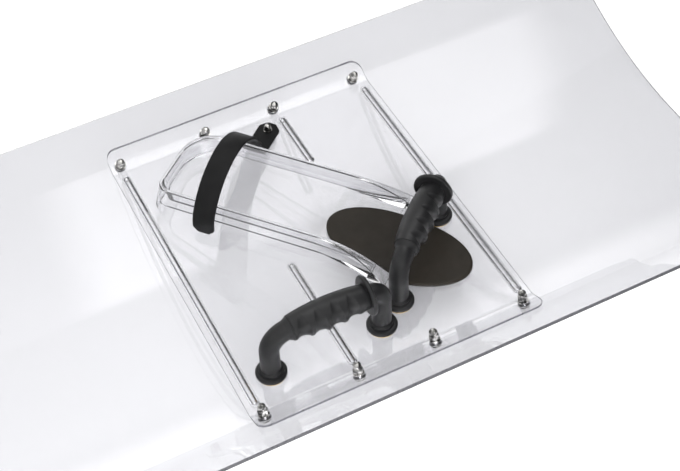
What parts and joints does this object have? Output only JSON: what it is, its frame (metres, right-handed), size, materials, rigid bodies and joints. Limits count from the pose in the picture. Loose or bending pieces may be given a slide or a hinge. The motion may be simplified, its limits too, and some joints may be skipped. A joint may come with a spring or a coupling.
{
  "type": "riot shield",
  "caption": "Clear curved riot shield with a bolted pressed board carrying a forearm tray, bent rubber handles, an arm strap and a foam pad.",
  "frame": {"origin": "under the middle of the curved panel's crown, where the shield rests on its front face", "axes": "+X along the shield's length, +Y across it, +Z out of the user's side"},
  "size_m": [1, 0.502, 0.1317],
  "materials": {
    "clear_panel": "polished clear polycarbonate sheet",
    "clear_board": "thermoformed clear polycarbonate",
    "nickel": "bright nickel plate",
    "zinc": "zinc plated steel",
    "brass_plate": "yellow passivated plate",
    "core_steel": "bent steel bar",
    "black_rubber": "moulded rubber, satin",
    "strap_rubber": "smooth moulded band",
    "foam": "closed cell foam",
    "adhesive": "adhesive film"
  },
  "bodies": {
    "shield": {"shield_panel": "clear_panel", "inner_board": "clear_board", "panel_bolts": "nickel", "front_washers": "zinc", "back_washers": "nickel", "cap_nuts": "nickel", "strap_washer": "nickel", "strap_nut": "nickel", "strap_back_washer": "zinc", "strap_screw": "nickel", "pad_film": "adhesive", "knuckle_pad": "foam", "main_handle_core": "core_steel", "main_handle_long_boot": "black_rubber", "main_handle_short_boot": "black_rubber", "main_handle_grip": "black_rubber", "main_handle_foot_plates": "brass_plate", "main_handle_washers": "zinc", "main_handle_screws": "zinc", "side_handle_core": "core_steel", "side_handle_long_boot": "black_rubber", "side_handle_short_boot": "black_rubber", "side_handle_grip": "black_rubber", "side_handle_foot_plates": "brass_plate", "side_handle_washers": "zinc", "side_handle_screws": "zinc"},
    "strap_anchor": {"strap_tab": "strap_rubber"},
    "strap_loop": {"strap_band": "strap_rubber"}
  },
  "joints": [
    {"name": "strap_swivel", "type": "hinge", "parent": "shield", "child": "strap_anchor", "pos_m": [0.03546, 0.16492, 0.0506], "axis": [0, 0, 1], "range_deg": [-6, 6]},
    {"name": "strap_lift", "type": "hinge", "parent": "strap_anchor", "child": "strap_loop", "pos_m": [0.01439, 0.14724, 0.0506], "axis": [-0.6428, 0.766, 0], "range_deg": [0, 55]}
  ]
}
